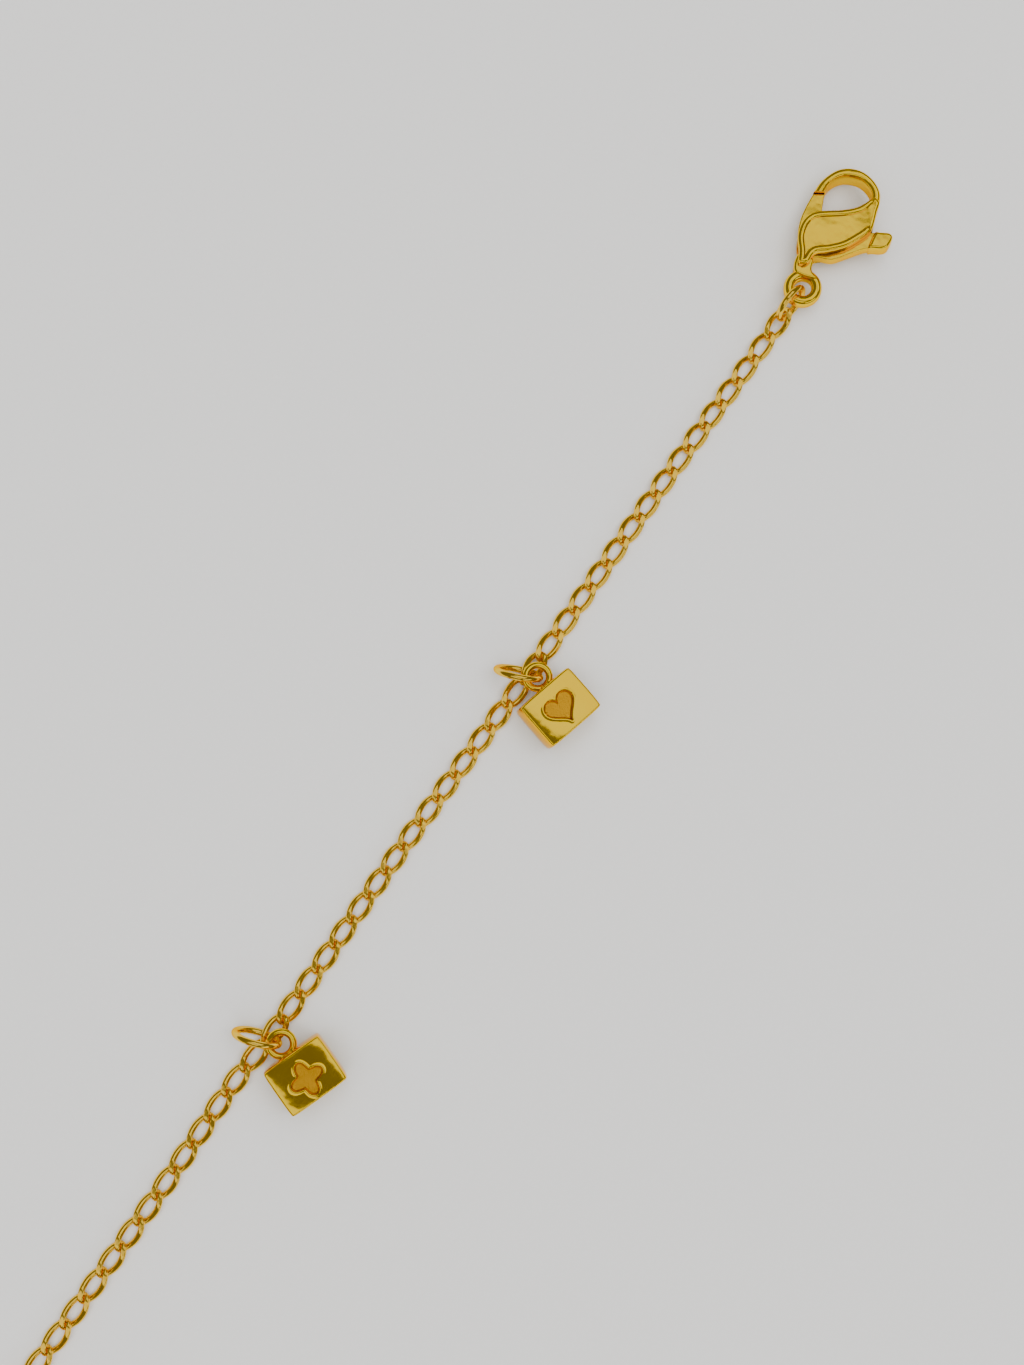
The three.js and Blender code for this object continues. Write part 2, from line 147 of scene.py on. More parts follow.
def add_node(tree, kind, inputs=None, **settings):
    node = tree.nodes.new(kind)
    for key, value in settings.items():
        setattr(node, key, value)
    for key, value in (inputs or {}).items():
        if isinstance(value, bpy.types.NodeSocket):
            tree.links.new(value, node.inputs[key])
        else:
            node.inputs[key].default_value = value
    return node


def new_tree(name, floats):
    tree = bpy.data.node_groups.new(name, "GeometryNodeTree")
    tree.interface.new_socket("Geometry", in_out="INPUT", socket_type="NodeSocketGeometry")
    for label, value in floats.items():
        kind = "NodeSocketInt" if isinstance(value, int) else "NodeSocketFloat"
        tree.interface.new_socket(label, in_out="INPUT", socket_type=kind).default_value = value
    tree.interface.new_socket("Metal", in_out="INPUT", socket_type="NodeSocketMaterial")
    tree.interface.new_socket("Geometry", in_out="OUTPUT", socket_type="NodeSocketGeometry")
    return tree, tree.nodes.new("NodeGroupInput").outputs, tree.nodes.new("NodeGroupOutput")


def end_tree(tree, given, geometry, out):
    real = add_node(tree, "GeometryNodeRealizeInstances", {0: geometry})
    shade = add_node(tree, "GeometryNodeSetShadeSmooth", {0: real.outputs[0]})
    metal = add_node(tree, "GeometryNodeSetMaterial", {0: shade.outputs[0], "Material": given["Metal"]})
    tree.links.new(metal.outputs[0], out.inputs[0])


def math_node(tree, operation, a, b=None):
    inputs = {0: a} if b is None else {0: a, 1: b}
    return add_node(tree, "ShaderNodeMath", inputs, operation=operation).outputs[0]


def grown(name, tree, values, base=None, place=None, sharp=35):
    """A plain mesh object made by a geometry tree with the given values."""
    piece = bpy.data.objects.new(name, base or bpy.data.meshes.new(name))
    bpy.context.scene.collection.objects.link(piece)
    modifier = piece.modifiers.new("form", "NODES")
    modifier.node_group = tree
    for item in tree.interface.items_tree:
        if item.in_out == "INPUT" and item.name in values:
            modifier[item.identifier] = values[item.name]
    piece.update_tag()
    bpy.context.view_layer.update()
    mesh = bpy.data.meshes.new_from_object(piece.evaluated_get(bpy.context.evaluated_depsgraph_get()))
    piece.modifiers.remove(modifier)
    mesh.name = name
    piece.data = mesh
    if place is not None:
        mesh.transform(place)
    mesh.set_sharp_from_angle(angle=math.radians(sharp))
    return piece


HAIRLINE_SCALE = (900.0, 16000.0, 9000.0)
HAIRLINE_TURN = 0.5
SCRATCH_SHARE = 0.1


def finish_group():
    """Marks that polishing leaves on plated brass: soft clouding, and hairlines that run one way."""
    group = bpy.data.node_groups.new("polishing marks", "ShaderNodeTree")
    for label in ("Cloud size", "Clouding", "Hairlines", "Roughness"):
        group.interface.new_socket(label, in_out="INPUT", socket_type="NodeSocketFloat")
    for label in ("Roughness", "Height", "Tone"):
        group.interface.new_socket(label, in_out="OUTPUT", socket_type="NodeSocketFloat")
    given = group.nodes.new("NodeGroupInput").outputs
    out = group.nodes.new("NodeGroupOutput")
    place = group.nodes.new("ShaderNodeTexCoord").outputs["Object"]
    cloud_scale = math_node(group, "DIVIDE", 1 / MM, given["Cloud size"])
    cloud = add_node(group, "ShaderNodeTexNoise", {"Vector": place, "Scale": cloud_scale, "Detail": 3.0})
    along = add_node(group, "ShaderNodeMapping", {"Vector": place, "Scale": HAIRLINE_SCALE})
    along.inputs["Rotation"].default_value = (0.0, 0.0, HAIRLINE_TURN)
    lines = add_node(group, "ShaderNodeTexNoise", {"Vector": along.outputs[0], "Scale": 1.0, "Detail": 4.0})
    clouding = math_node(group, "SUBTRACT", cloud.outputs[0], 0.5)
    clouding = math_node(group, "MULTIPLY", clouding, given["Clouding"])
    hairs = math_node(group, "SUBTRACT", lines.outputs[0], 0.5)
    hairs = math_node(group, "MULTIPLY", hairs, given["Hairlines"])
    rough = math_node(group, "ADD", math_node(group, "ADD", given["Roughness"], clouding), hairs)
    group.links.new(rough, out.inputs["Roughness"])
    scratches = math_node(group, "MULTIPLY", hairs, SCRATCH_SHARE)
    group.links.new(math_node(group, "ADD", cloud.outputs[0], scratches), out.inputs["Height"])
    group.links.new(cloud.outputs[0], out.inputs["Tone"])
    return group


MARKS = finish_group()
GOLD_EDGE_TINT = (1.0, 0.66, 0.16, 1)


def gold(name, bright, deep, roughness, clouding, hairlines, cloud_size, bump):
    """Polished gold plating that clouds between a bright and a deep tone. Sizes are in millimetres."""
    material = bpy.data.materials.new(name)
    material.use_nodes = True
    tree = material.node_tree
    shader = tree.nodes["Principled BSDF"]
    shader.inputs["Metallic"].default_value = 1.0
    shader.inputs["Specular Tint"].default_value = GOLD_EDGE_TINT
    marks = add_node(tree, "ShaderNodeGroup", node_tree=MARKS)
    for label, value in (("Cloud size", cloud_size), ("Clouding", clouding), ("Hairlines", hairlines)):
        marks.inputs[label].default_value = value
    marks.inputs["Roughness"].default_value = roughness
    tone = add_node(tree, "ShaderNodeMix", {0: marks.outputs["Tone"]}, data_type="RGBA")
    tone.inputs[6].default_value = (*deep, 1)
    tone.inputs[7].default_value = (*bright, 1)
    tree.links.new(tone.outputs[2], shader.inputs["Base Color"])
    tree.links.new(marks.outputs["Roughness"], shader.inputs["Roughness"])
    relief = add_node(tree, "ShaderNodeBump", {"Height": marks.outputs["Height"], "Distance": bump * MM})
    tree.links.new(relief.outputs[0], shader.inputs["Normal"])
    return material


GOLD_WIRE = gold(
    "gold-plated wire",
    bright=(1.0, 0.7, 0.09),
    deep=(0.94, 0.56, 0.04),
    roughness=0.15,
    clouding=0.1,
    hairlines=0.08,
    cloud_size=0.6,
    bump=0.004,
)

chain_tree, given, out = new_tree(
    "curb chain",
    {
        "Half length": LINK_HALF_LENGTH,
        "Half width": LINK_HALF_WIDTH,
        "Wire": WIRE_FULLNESS * LINK_WIRE,
        "Twist": LINK_TWIST,
        "Squareness": LINK_SQUARENESS,
        "Level": LINK_LEVEL,
        "Stations": 44,
        "Sides": 22,
    },
)
loop = add_node(chain_tree, "GeometryNodeCurvePrimitiveCircle", {"Resolution": 96, "Radius": 1.0})
position = chain_tree.nodes.new("GeometryNodeInputPosition").outputs[0]
parts = add_node(chain_tree, "ShaderNodeSeparateXYZ", {0: position})
power = math_node(chain_tree, "DIVIDE", 2.0, given["Squareness"])
squared = []
for axis, half in ((0, "Half length"), (1, "Half width")):
    share = parts.outputs[axis]
    size = math_node(chain_tree, "POWER", math_node(chain_tree, "ABSOLUTE", share), power)
    signed = math_node(chain_tree, "MULTIPLY", size, math_node(chain_tree, "SIGN", share))
    squared.append(math_node(chain_tree, "MULTIPLY", signed, given[half]))
spot = add_node(chain_tree, "ShaderNodeCombineXYZ", {0: squared[0], 1: squared[1]})
loop = add_node(chain_tree, "GeometryNodeSetPosition", {0: loop.outputs[0], "Position": spot.outputs[0]})
loop = add_node(chain_tree, "GeometryNodeResampleCurve", {0: loop.outputs[0], "Count": given["Stations"]})
section = add_node(
    chain_tree,
    "GeometryNodeCurvePrimitiveCircle",
    {"Resolution": given["Sides"], "Radius": math_node(chain_tree, "DIVIDE", given["Wire"], 2.0)},
)
wire = add_node(chain_tree, "GeometryNodeCurveToMesh", {0: loop.outputs[0], 1: section.outputs[0]})
position = chain_tree.nodes.new("GeometryNodeInputPosition").outputs[0]
along = add_node(chain_tree, "ShaderNodeSeparateXYZ", {0: position}).outputs[0]
from_middle = math_node(chain_tree, "DIVIDE", along, given["Half length"])
turn = math_node(chain_tree, "MULTIPLY", from_middle, given["Twist"])
twisted = add_node(
    chain_tree,
    "ShaderNodeVectorRotate",
    {"Vector": position, "Angle": math_node(chain_tree, "MULTIPLY", turn, -1.0)},
    rotation_type="X_AXIS",
)
wire = add_node(chain_tree, "GeometryNodeSetPosition", {0: wire.outputs[0], "Position": twisted.outputs[0]})
position = chain_tree.nodes.new("GeometryNodeInputPosition").outputs[0]
parts = add_node(chain_tree, "ShaderNodeSeparateXYZ", {0: position})
ground = math_node(chain_tree, "MINIMUM", parts.outputs[2], given["Level"])
ground = math_node(chain_tree, "MAXIMUM", ground, math_node(chain_tree, "MULTIPLY", given["Level"], -1.0))
spot = add_node(chain_tree, "ShaderNodeCombineXYZ", {0: parts.outputs[0], 1: parts.outputs[1], 2: ground})
wire = add_node(chain_tree, "GeometryNodeSetPosition", {0: wire.outputs[0], "Position": spot.outputs[0]})
turns = add_node(chain_tree, "GeometryNodeInputNamedAttribute", {"Name": "turn"}, data_type="FLOAT_VECTOR")
links = add_node(
    chain_tree,
    "GeometryNodeInstanceOnPoints",
    {"Points": given["Geometry"], "Instance": wire.outputs[0], "Rotation": turns.outputs[0]},
)
fused = add_node(
    chain_tree, "GeometryNodeMeshBoolean", {"Mesh 2": links.outputs[0]}, operation="UNION", solver="MANIFOLD"
)
end_tree(chain_tree, given, fused.outputs[0], out)

places = [link_place(index) for index in range(LINK_COUNT)]
points = bpy.data.meshes.new("link places")
points.from_pydata([centre for centre, _ in places], [], [])
points.attributes.new("turn", "FLOAT_VECTOR", "POINT").data.foreach_set(
    "vector", np.array([angles for _, angles in places], np.float32).ravel()
)
chain = grown("curb_chain", chain_tree, {"Metal": GOLD_WIRE}, base=points, sharp=30)
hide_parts("chain")
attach(chain, "bracelet")

# Jump rings. Round brass wire, coiled, sawn through and closed, which leaves a hairline butt joint. One
# holds each charm, one joins the clasp to the first link and a larger one ends the chain.
RING_DIAMETER = 3.88 * MM
END_RING_DIAMETER = 4.2 * MM
RING_JOINT = 0.02 * MM
RING_JOINT_ANGLE = -2.4
CHARM_RING_LEANS = (-16.9, -10.8)
CHARM_RING_TURNS = (-64.9, -70)
CLASP_RING_LEAN = 18.5
CLASP_RING_TURN = -6
FAR_RING_TILT = (-23.2, -15, 14.5)

ring_tree, given, out = new_tree(
    "wire ring",
    {
        "Radius": 1.0 * MM,
        "Wire": RING_WIRE,
        "Joint": RING_JOINT,
        "Joint angle": RING_JOINT_ANGLE,
        "Stations": 96,
        "Sides": 24,
    },
)
gap = math_node(ring_tree, "DIVIDE", given["Joint"], given["Radius"])
half_gap = math_node(ring_tree, "DIVIDE", gap, 2.0)
arc = add_node(
    ring_tree,
    "GeometryNodeCurveArc",
    {
        "Resolution": given["Stations"],
        "Radius": given["Radius"],
        "Start Angle": math_node(ring_tree, "ADD", given["Joint angle"], half_gap),
        "Sweep Angle": math_node(ring_tree, "SUBTRACT", 2 * math.pi, gap),
    },
)
section = add_node(
    ring_tree,
    "GeometryNodeCurvePrimitiveCircle",
    {"Resolution": given["Sides"], "Radius": math_node(ring_tree, "DIVIDE", given["Wire"], 2.0)},
)
wire = add_node(
    ring_tree, "GeometryNodeCurveToMesh", {0: arc.outputs[0], 1: section.outputs[0], "Fill Caps": True}
)
end_tree(ring_tree, given, wire.outputs[0], out)


def euler(roll, pitch, yaw):
    return (
        Matrix.Rotation(math.radians(yaw), 4, "Z")
        @ Matrix.Rotation(math.radians(pitch), 4, "Y")
        @ Matrix.Rotation(math.radians(roll), 4, "X")
    )


def wire_ring(name, node, diameter, turned):
    low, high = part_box(node)
    place = Matrix.Translation((low + high) / 2) @ turned
    ring = grown(name, ring_tree, {"Radius": (diameter - RING_WIRE) / 2, "Metal": GOLD_WIRE}, place=place)
    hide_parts(node)
    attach(ring, "bracelet")


for number in range(1, 5):
    kind = (number - 1) % 2
    turned = euler(90 - CHARM_RING_LEANS[kind], 0, CHARM_RING_TURNS[kind])
    wire_ring(f"charm_ring_{number}", f"jump_ring_{number}", RING_DIAMETER, turned)
turned = euler(90 - CLASP_RING_LEAN, 0, CLASP_RING_TURN)
wire_ring("clasp_ring", "connector_ring", CONNECTOR_DIAMETER, turned)
wire_ring("far_ring", "end_ring", END_RING_DIAMETER, euler(*FAR_RING_TILT))

# Charms. Cast blocks of brass, polished until their faces crown a little and their edges turn round, then
# plated. A small motif is stamped into the upper face, its floor left grainy and painted a deeper amber as
# painted shade, and a round eye is soldered to one side. Two ways of lying take turns along the chain.
CHARM_SIZE = np.array((4.97, 3.96, 4.0)) * MM
CHARM_EDGE = 0.16 * MM
CHARM_CROWN = 0.13 * MM
CROWN_POWER = 4
CROWN_FADE_POWER = 8
CHARM_TURNS = (-13.7, -19.5)
FACE_STEP = 0.036 * MM
SIDE_STEP = 0.6 * MM
RECESS_SIZE = 2.5 * MM
RECESS_DEPTH = 0.33 * MM
RECESS_DROP = 0.2 * MM
RECESS_WALL = 0.13 * MM
RECESS_GRAIN = 0.008 * MM
# Painted shade: the stamped recess floor is coloured a deeper amber for the darkening and warm
# interreflection down in the hollow
RECESS_SHADE_COLOUR = (0.86, 0.44, 0.015, 1)
RECESS_ROUGHNESS = 0.36
LIP_HEIGHT = 0.02 * MM
LIP_WALLS_AWAY = 1.1
LIP_SPREAD = 0.5
EYE_WIRE = 0.54 * MM
EYE_PLAY = 0.37 * MM
EYE_SUNK = 0.04 * MM
EYE_DIAMETER = RING_WIRE + 2 * EYE_PLAY + 2 * EYE_WIRE
EYE_REACH = (EYE_DIAMETER - EYE_WIRE) / 2 - EYE_SUNK
EYE_SHIFTS = (0.4 * MM, -0.2 * MM)
EYE_PLACES = ((-0.494 * MM, -0.646 * MM), (-0.302 * MM, -0.953 * MM))
SOLDER_RADII = np.array((0.62, 0.16, 0.42)) * MM


def motif_outline(name):
    """Closed outline of a motif, about one unit across."""
    a = np.linspace(0, 2 * np.pi, 240, endpoint=False)
    if name == "heart":
        y = 13 * np.cos(a) - 5 * np.cos(2 * a) - 2 * np.cos(3 * a) - np.cos(4 * a)
        return np.stack((-16 * np.sin(a) ** 3 / 33, (y + 2.5) / 33), 1)
    if name == "flower":
        r = 0.4 + 0.12 * np.cos(4 * a)
        return np.stack((r * np.cos(a), r * np.sin(a)), 1)
    if name == "leaf":
        return np.stack((-0.3 * np.sin(a) * (1 + 0.35 * np.cos(a)), 0.5 * np.cos(a)), 1)
    corners = np.array(((0, -0.5), (0.42, 0), (0, 0.5), (-0.42, 0)))
    t = np.linspace(0, 1, 40, endpoint=False)[:, None]
    return np.concatenate([corners[i] + (corners[(i + 1) % 4] - corners[i]) * t for i in range(4)])


def depth_inside(points, outline):
    """Signed distance of each point from the outline, positive inside it."""
    a = outline
    b = np.roll(outline, -1, 0)
    d = b - a
    rel = points[:, None, :] - a[None]
    t = np.clip((rel * d).sum(-1) / (d * d).sum(-1), 0, 1)
    away = np.linalg.norm(rel - t[..., None] * d, axis=-1).min(1)
    crosses = (a[:, 1] > points[:, None, 1]) != (b[:, 1] > points[:, None, 1])
    rise = np.where(d[:, 1] == 0, 1e-12, d[:, 1])
    at = a[:, 0] + (points[:, None, 1] - a[:, 1]) * d[:, 0] / rise
    inside = (crosses & (points[:, None, 0] < at)).sum(1) % 2 == 1
    return np.where(inside, away, -away)


def grid_steps(half, edge, step):
    """Coordinates from -half to half, close together at the rounded edges."""
    near = half - edge * (1 - np.linspace(0, 1, 6))
    middle = np.linspace(-(half - edge), half - edge, max(3, int(2 * (half - edge) / step)))
    return np.concatenate((-near[:0:-1], middle, near[1:]))


def charm_block(outline):
    """Vertices, faces and press mask of a rounded, crowned block with the motif pressed into its top."""
    half = CHARM_SIZE / 2
    steps = [grid_steps(h, CHARM_EDGE, step) for h, step in zip(half, (FACE_STEP, FACE_STEP, SIDE_STEP))]
    verts = []
    faces = []
    index = {}

    def vertex(i, j, k):
        key = (i, j, k)
        if key not in index:
            index[key] = len(verts)
            verts.append((steps[0][i], steps[1][j], steps[2][k]))
        return index[key]

    def quad(*corners):
        faces.append(tuple(vertex(*corner) for corner in corners))

    nx, ny, nz = (len(s) - 1 for s in steps)
    for i in range(nx):
        for j in range(ny):
            quad((i, j, nz), (i + 1, j, nz), (i + 1, j + 1, nz), (i, j + 1, nz))
            quad((i, j, 0), (i, j + 1, 0), (i + 1, j + 1, 0), (i + 1, j, 0))
    for k in range(nz):
        for i in range(nx):
            quad((i, 0, k), (i + 1, 0, k), (i + 1, 0, k + 1), (i, 0, k + 1))
            quad((i, ny, k), (i, ny, k + 1), (i + 1, ny, k + 1), (i + 1, ny, k))
        for j in range(ny):
            quad((0, j, k), (0, j, k + 1), (0, j + 1, k + 1), (0, j + 1, k))
            quad((nx, j, k), (nx, j + 1, k), (nx, j + 1, k + 1), (nx, j, k + 1))
    p = np.array(verts)
    core = np.clip(p, -(half - CHARM_EDGE), half - CHARM_EDGE)
    out = p - core
    p = core + CHARM_EDGE * out / np.maximum(np.linalg.norm(out, axis=1, keepdims=True), 1e-12)
    share = p / half
    for axis in range(3):
        others = [o for o in range(3) if o != axis]
        crown = CHARM_CROWN * (share[:, others[0]] ** CROWN_POWER + share[:, others[1]] ** CROWN_POWER) / 2
        p[:, axis] -= np.sign(share[:, axis]) * crown * np.abs(share[:, axis]) ** CROWN_FADE_POWER
    top = p[:, 2] > half[2] - CHARM_EDGE
    inside = np.full(len(p), -1.0)
    inside[top] = depth_inside(p[top][:, :2] + (0, RECESS_DROP), outline)
    press = np.clip(inside / RECESS_WALL + 0.5, 0, 1)
    press = press * press * (3 - 2 * press)
    rng = np.random.default_rng(7)
    grain = rng.normal(0, RECESS_GRAIN, len(p)) * press
    lip = np.exp(-((inside / RECESS_WALL + LIP_WALLS_AWAY) ** 2) / LIP_SPREAD) * LIP_HEIGHT
    p[:, 2] += np.where(top, lip - press * RECESS_DEPTH + grain, 0)
    return p, faces, press


def tube_ring(radius, wire, stations, sides):
    """Vertices and faces of a closed round ring in the XY plane."""
    a = np.linspace(0, 2 * np.pi, stations, endpoint=False)[:, None]
    b = np.linspace(0, 2 * np.pi, sides, endpoint=False)[None]
    reach = radius + wire / 2 * np.cos(b)
    p = np.stack((reach * np.cos(a), reach * np.sin(a), wire / 2 * np.sin(b) + 0 * a), -1).reshape(-1, 3)
    faces = []
    for i in range(stations):
        for j in range(sides):
            i1 = (i + 1) % stations
            j1 = (j + 1) % sides
            faces.append((i * sides + j, i1 * sides + j, i1 * sides + j1, i * sides + j1))
    return p, faces


def solder_bead(centre, radii, stations=24, rings=10):
    """Vertices and faces of the low mound of solder where the eye meets the block."""
    p = [centre + np.array((0, radii[1], 0)), centre - np.array((0, radii[1], 0))]
    faces = []
    for r in range(1, rings):
        t = math.pi * r / rings
        for s in range(stations):
            a = 2 * math.pi * s / stations
            reach = np.array((math.sin(t) * math.cos(a), math.cos(t), math.sin(t) * math.sin(a)))
            p.append(centre + reach * radii)
    for s in range(stations):
        s1 = (s + 1) % stations
        faces.append((0, 2 + s1, 2 + s))
        last = 2 + (rings - 2) * stations
        faces.append((1, last + s, last + s1))
        for r in range(rings - 2):
            row = 2 + r * stations
            faces.append((row + s, row + s1, row + stations + s1, row + stations + s))
    return np.array(p), faces


def shade_faces(mesh, sharp):
    """Smooth shading, with edges over the angle sharp, and large flat faces kept flat to their rims."""
    mesh.shade_smooth()
    mesh.set_sharp_from_angle(angle=math.radians(sharp))
    for face in mesh.polygons:
        if len(face.vertices) > 20:
            for k in face.loop_indices:
                mesh.edges[mesh.loops[k].edge_index].use_edge_sharp = True


def mesh_object(name, shells, materials, sharp, place=Matrix.Identity(4)):
    """One object of several closed shells, each with its vertices and faces."""
    verts = np.concatenate([np.asarray(p) for p, _ in shells])
    faces = []
    start = 0
    for p, shell_faces in shells:
        faces += [tuple(start + v for v in face) for face in shell_faces]
        start += len(p)
    mesh = bpy.data.meshes.new(name)
    mesh.from_pydata(verts.tolist(), [], faces)
    mesh.transform(place)
    work = bmesh.new()
    work.from_mesh(mesh)
    bmesh.ops.recalc_face_normals(work, faces=work.faces)
    work.to_mesh(mesh)
    work.free()
    shade_faces(mesh, sharp)
    for material in materials:
        mesh.materials.append(material)
    piece = bpy.data.objects.new(name, mesh)
    bpy.context.scene.collection.objects.link(piece)
    return piece


def combine(piece, other, operation, solver):
    """Joins the other object to the piece, or cuts it out, and takes the other away."""
    modifier = piece.modifiers.new("combine", "BOOLEAN")
    modifier.operation = operation
    modifier.solver = solver
    modifier.object = other
    bpy.context.view_layer.update()
    mesh = bpy.data.meshes.new_from_object(piece.evaluated_get(bpy.context.evaluated_depsgraph_get()))
    piece.modifiers.remove(modifier)
    piece.data = mesh
    bpy.data.objects.remove(other)


def join_on(piece, shells, sharp, place=Matrix.Identity(4)):
    """Fuses closed shells with a piece into one skin, as what is cast or soldered in one with it."""
    for shell in shells:
        more = mesh_object("more", [shell], list(piece.data.materials), sharp, place)
        combine(piece, more, "UNION", "MANIFOLD")
    shade_faces(piece.data, sharp)


GOLD_BLOCK = gold(
    "gold-plated block",
    bright=(1.0, 0.7, 0.03),
    deep=(0.95, 0.6, 0.01),
    roughness=0.1,
    clouding=0.08,
    hairlines=0.1,
    cloud_size=3.2,
    bump=0.06,
)
tree = GOLD_BLOCK.node_tree
shader = tree.nodes["Principled BSDF"]
# The pressed mask paints the recess a deeper amber, a painted shade for the darkening and warm
# interreflection in the hollow; its higher roughness is the real grainy floor
pressed = add_node(tree, "ShaderNodeAttribute", attribute_name="pressed")
polished = shader.inputs["Base Color"].links[0].from_socket
painted_recess_shade = add_node(tree, "ShaderNodeMix", {0: pressed.outputs["Fac"], 6: polished}, data_type="RGBA")
painted_recess_shade.inputs[7].default_value = RECESS_SHADE_COLOUR
tree.links.new(painted_recess_shade.outputs[2], shader.inputs["Base Color"])
smoothness = shader.inputs["Roughness"].links[0].from_socket
matt = add_node(tree, "ShaderNodeMix", {0: pressed.outputs["Fac"], 2: smoothness, 3: RECESS_ROUGHNESS})
tree.links.new(matt.outputs[0], shader.inputs["Roughness"])

for number, motif in enumerate(("heart", "flower", "diamond", "leaf"), 1):
    kind = (number - 1) % 2
    turned = euler(0, 0, CHARM_TURNS[kind])
    carrier = link_place(CARRIERS[number - 1])[0]
    eye_x, eye_y = EYE_PLACES[kind]
    eye = Vector((carrier.x + eye_x, carrier.y + eye_y, CHARM_SIZE[2] / 2))
    eye_on_block = (EYE_SHIFTS[kind], CHARM_SIZE[1] / 2 + EYE_REACH, 0)
    to_eye = turned @ Vector(eye_on_block)
    place = Matrix.Translation(eye - to_eye) @ turned
    block, block_faces, press = charm_block(motif_outline(motif) * RECESS_SIZE)
    ring, ring_faces = tube_ring((EYE_DIAMETER - EYE_WIRE) / 2, EYE_WIRE, 64, 24)
    ring = ring + eye_on_block
    bead = solder_bead(np.array((EYE_SHIFTS[kind], CHARM_SIZE[1] / 2, 0)), SOLDER_RADII)
    charm = mesh_object(f"{motif}_charm", [(block, block_faces)], [GOLD_BLOCK], 50, place)
    mask = charm.data.attributes.new("pressed", "FLOAT", "POINT")
    mask.data.foreach_set("value", press.astype(np.float32))
    join_on(charm, [(ring, ring_faces), bead], 50, place)
    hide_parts(f"charm_{number}")
    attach(charm, "bracelet")

# Lobster clasp. The body is one casting of two plates, a hook, a neck and a tail eye, polished and plated.
# A rim like an S runs along each plate. The lever turns between the plates on a pin let in from behind.
CLASP_REACH = 10.4 * MM
CLASP_SPAN = 5.2 * MM
PLATE_DEPTH = 2.46 * MM
PLATE_EDGE = 0.26 * MM
HOOK_DEPTH = 2.1 * MM
SLOT_DEPTH = 1.2 * MM
NECK_DEPTH = 1.5 * MM
NECK_EDGE = 0.2 * MM
NECK_END = 0.229 * CLASP_REACH
RIM_HEIGHT = 0.17 * MM
BACK_RIM_HEIGHT = 0.09 * MM
RIM_WIDTH = 0.5 * MM
RIM_FIRST = 10
RIM_SPANS = 15
RIM_TAPER = 0.06
EASED_STEPS = 7
EDGE_LAND = 1.12
HOOK_STATIONS = 70
TAIL_EYE = 1.5 * MM
TAIL_HOLE = 0.66 * MM
TAIL_DEPTH = 1.2 * MM
PIN_DIAMETER = 0.8 * MM
PIN_COVER = 0.3 * MM
PIN_TOP = PLATE_DEPTH / 2 - PIN_COVER
PIN_BACK_EDGE = 0.08 * MM
PIN_TOP_EDGE = 0.03 * MM
ARM_EDGE = 0.1 * MM
TAB_EDGE = 0.26 * MM
TAB_DEPTH = 1.6 * MM


def shares(*points):
    return np.array(points) * (CLASP_REACH, CLASP_SPAN)


PIVOT = shares((0.356, 0.087))[0]
CLASP_TURNED = euler(-11, 0, 13)
hinge = Vector(frame["joints"][0]["pos_m"])
CLASP_PLACE = Matrix.Translation(hinge - CLASP_TURNED @ Vector((*PIVOT, 0))) @ CLASP_TURNED

PLATE_OUTLINE = shares(
    (0.144, 0.181), (0.169, 0.058), (0.256, 0.01), (0.309, -0.183), (0.377, -0.375), (0.458, -0.51),
    (0.543, -0.625), (0.606, -0.654), (0.723, -0.625), (0.803, -0.606), (0.817, -0.49), (0.716, -0.356),
    (0.649, -0.163), (0.572, 0.183), (0.519, 0.308), (0.439, 0.363), (0.335, 0.346), (0.234, 0.25),
)
HOOK_OUTER = shares(
    (0.717, 0.385), (0.803, 0.35), (0.883, 0.273), (0.95, 0.163), (0.99, 0.019), (1.002, -0.154),
    (0.983, -0.319), (0.937, -0.471), (0.873, -0.577), (0.788, -0.615), (0.702, -0.615),
)
HOOK_INNER = shares(
    (0.692, -0.346), (0.76, -0.452), (0.827, -0.462), (0.885, -0.375), (0.925, -0.192), (0.906, 0.038),
    (0.832, 0.183), (0.746, 0.221),
)
LEVER_OUTLINE = shares(
    (0.714, 0.381), (0.616, 0.408), (0.511, 0.417), (0.408, 0.387), (0.322, 0.312), (0.264, 0.221),
    (0.238, 0.087), (0.258, -0.067), (0.275, -0.26), (0.354, -0.454), (0.442, -0.663), (0.482, -0.87),
    (0.515, -0.94), (0.58, -0.955), (0.603, -0.9), (0.588, -0.721), (0.558, -0.5), (0.553, -0.192),
    (0.572, 0.019), (0.606, 0.146), (0.663, 0.183), (0.742, 0.217),
)
TAB_OUTLINE = shares(
    (0.449, -0.7), (0.46, -0.77), (0.476, -0.885), (0.51, -0.962), (0.587, -0.981), (0.615, -0.913),
    (0.598, -0.78), (0.587, -0.71), (0.52, -0.69),
)
SLOT_OUTLINE = shares(
    (0.202, 0.615), (0.202, -0.038), (0.154, -0.462), (0.308, -0.846), (0.635, -0.846), (0.635, -0.269),
    (0.683, -0.115), (0.683, 0.615),
)
NECK_OUTLINE = shares((0.087, 0.202), (0.087, -0.144), (0.144, -0.029), (0.231, 0.023), (0.231, 0.246))


def eased(points, closed):
    """A smooth line through the points."""
    count = len(points)
    spans = count if closed else count - 1
    line = []
    for i in range(spans):
        pick = [(i + k) % count if closed else min(max(i + k, 0), count - 1) for k in (-1, 0, 1, 2)]
        p0, p1, p2, p3 = (points[k] for k in pick)
        for t in np.arange(EASED_STEPS) / EASED_STEPS:
            line.append(
                0.5 * (2 * p1 + (p2 - p0) * t + (2 * p0 - 5 * p1 + 4 * p2 - p3) * t**2
                       + (3 * p1 - p0 - 3 * p2 + p3) * t**3)
            )
    if not closed:
        line.append(points[-1])
    return np.array(line)


